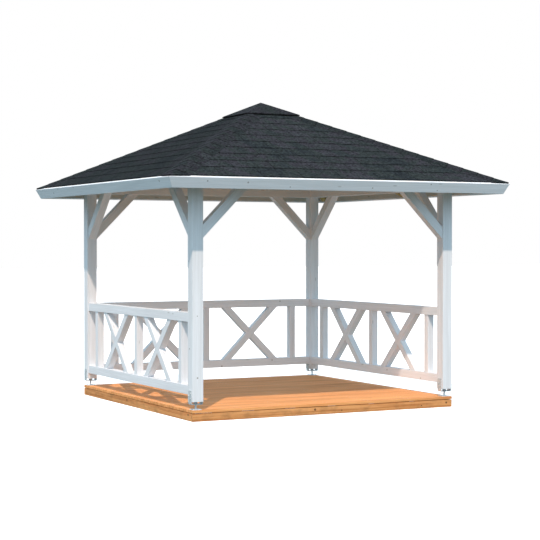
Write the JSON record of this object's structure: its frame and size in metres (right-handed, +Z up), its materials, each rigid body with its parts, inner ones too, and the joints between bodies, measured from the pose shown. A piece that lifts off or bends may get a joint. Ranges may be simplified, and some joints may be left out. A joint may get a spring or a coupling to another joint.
{
  "type": "garden gazebo",
  "caption": "Square timber garden gazebo on a low deck, with a shingled pyramid roof, knee-braced posts on metal feet, cross-braced railings and an open front.",
  "frame": {"origin": "on the ground under the middle of the deck", "axes": "+Z up, +Y from the open front to the back, +X to the right seen from the front"},
  "size_m": [3.856, 3.856, 3.2677],
  "materials": {
    "white_timber": "white painted timber, satin",
    "roof_timber": "planed spruce, matt",
    "deck_timber": "oiled larch, matt",
    "shingles": "bitumen felt with mineral granules, matt",
    "galvanised_steel": "hot-dip galvanised, dull"
  },
  "bodies": {
    "root": {"deck_boards": "deck_timber", "deck_joists": "deck_timber", "front_deck_rim": "deck_timber", "right_deck_rim": "deck_timber", "back_deck_rim": "deck_timber", "left_deck_rim": "deck_timber", "front_left_post": "white_timber", "front_right_post": "white_timber", "back_right_post": "white_timber", "back_left_post": "white_timber", "post_feet": "galvanised_steel", "front_knee_braces": "white_timber", "right_knee_braces": "white_timber", "back_knee_braces": "white_timber", "left_knee_braces": "white_timber", "right_rails": "white_timber", "right_slats": "white_timber", "right_rising_bars": "white_timber", "right_falling_bars": "white_timber", "back_rails": "white_timber", "back_slats": "white_timber", "back_rising_bars": "white_timber", "back_falling_bars": "white_timber", "left_rails": "white_timber", "left_slats": "white_timber", "left_rising_bars": "white_timber", "left_falling_bars": "white_timber", "front_beam": "white_timber", "right_beam": "white_timber", "back_beam": "white_timber", "left_beam": "white_timber", "hip_rafters": "roof_timber", "common_rafters": "roof_timber", "king_block": "roof_timber", "front_roof_boards": "roof_timber", "right_roof_boards": "roof_timber", "back_roof_boards": "roof_timber", "left_roof_boards": "roof_timber", "front_fascia": "white_timber", "right_fascia": "white_timber", "back_fascia": "white_timber", "left_fascia": "white_timber", "front_shingles": "shingles", "right_shingles": "shingles", "back_shingles": "shingles", "left_shingles": "shingles", "hip_caps": "shingles", "apex_cap": "shingles"}
  },
  "joints": []
}
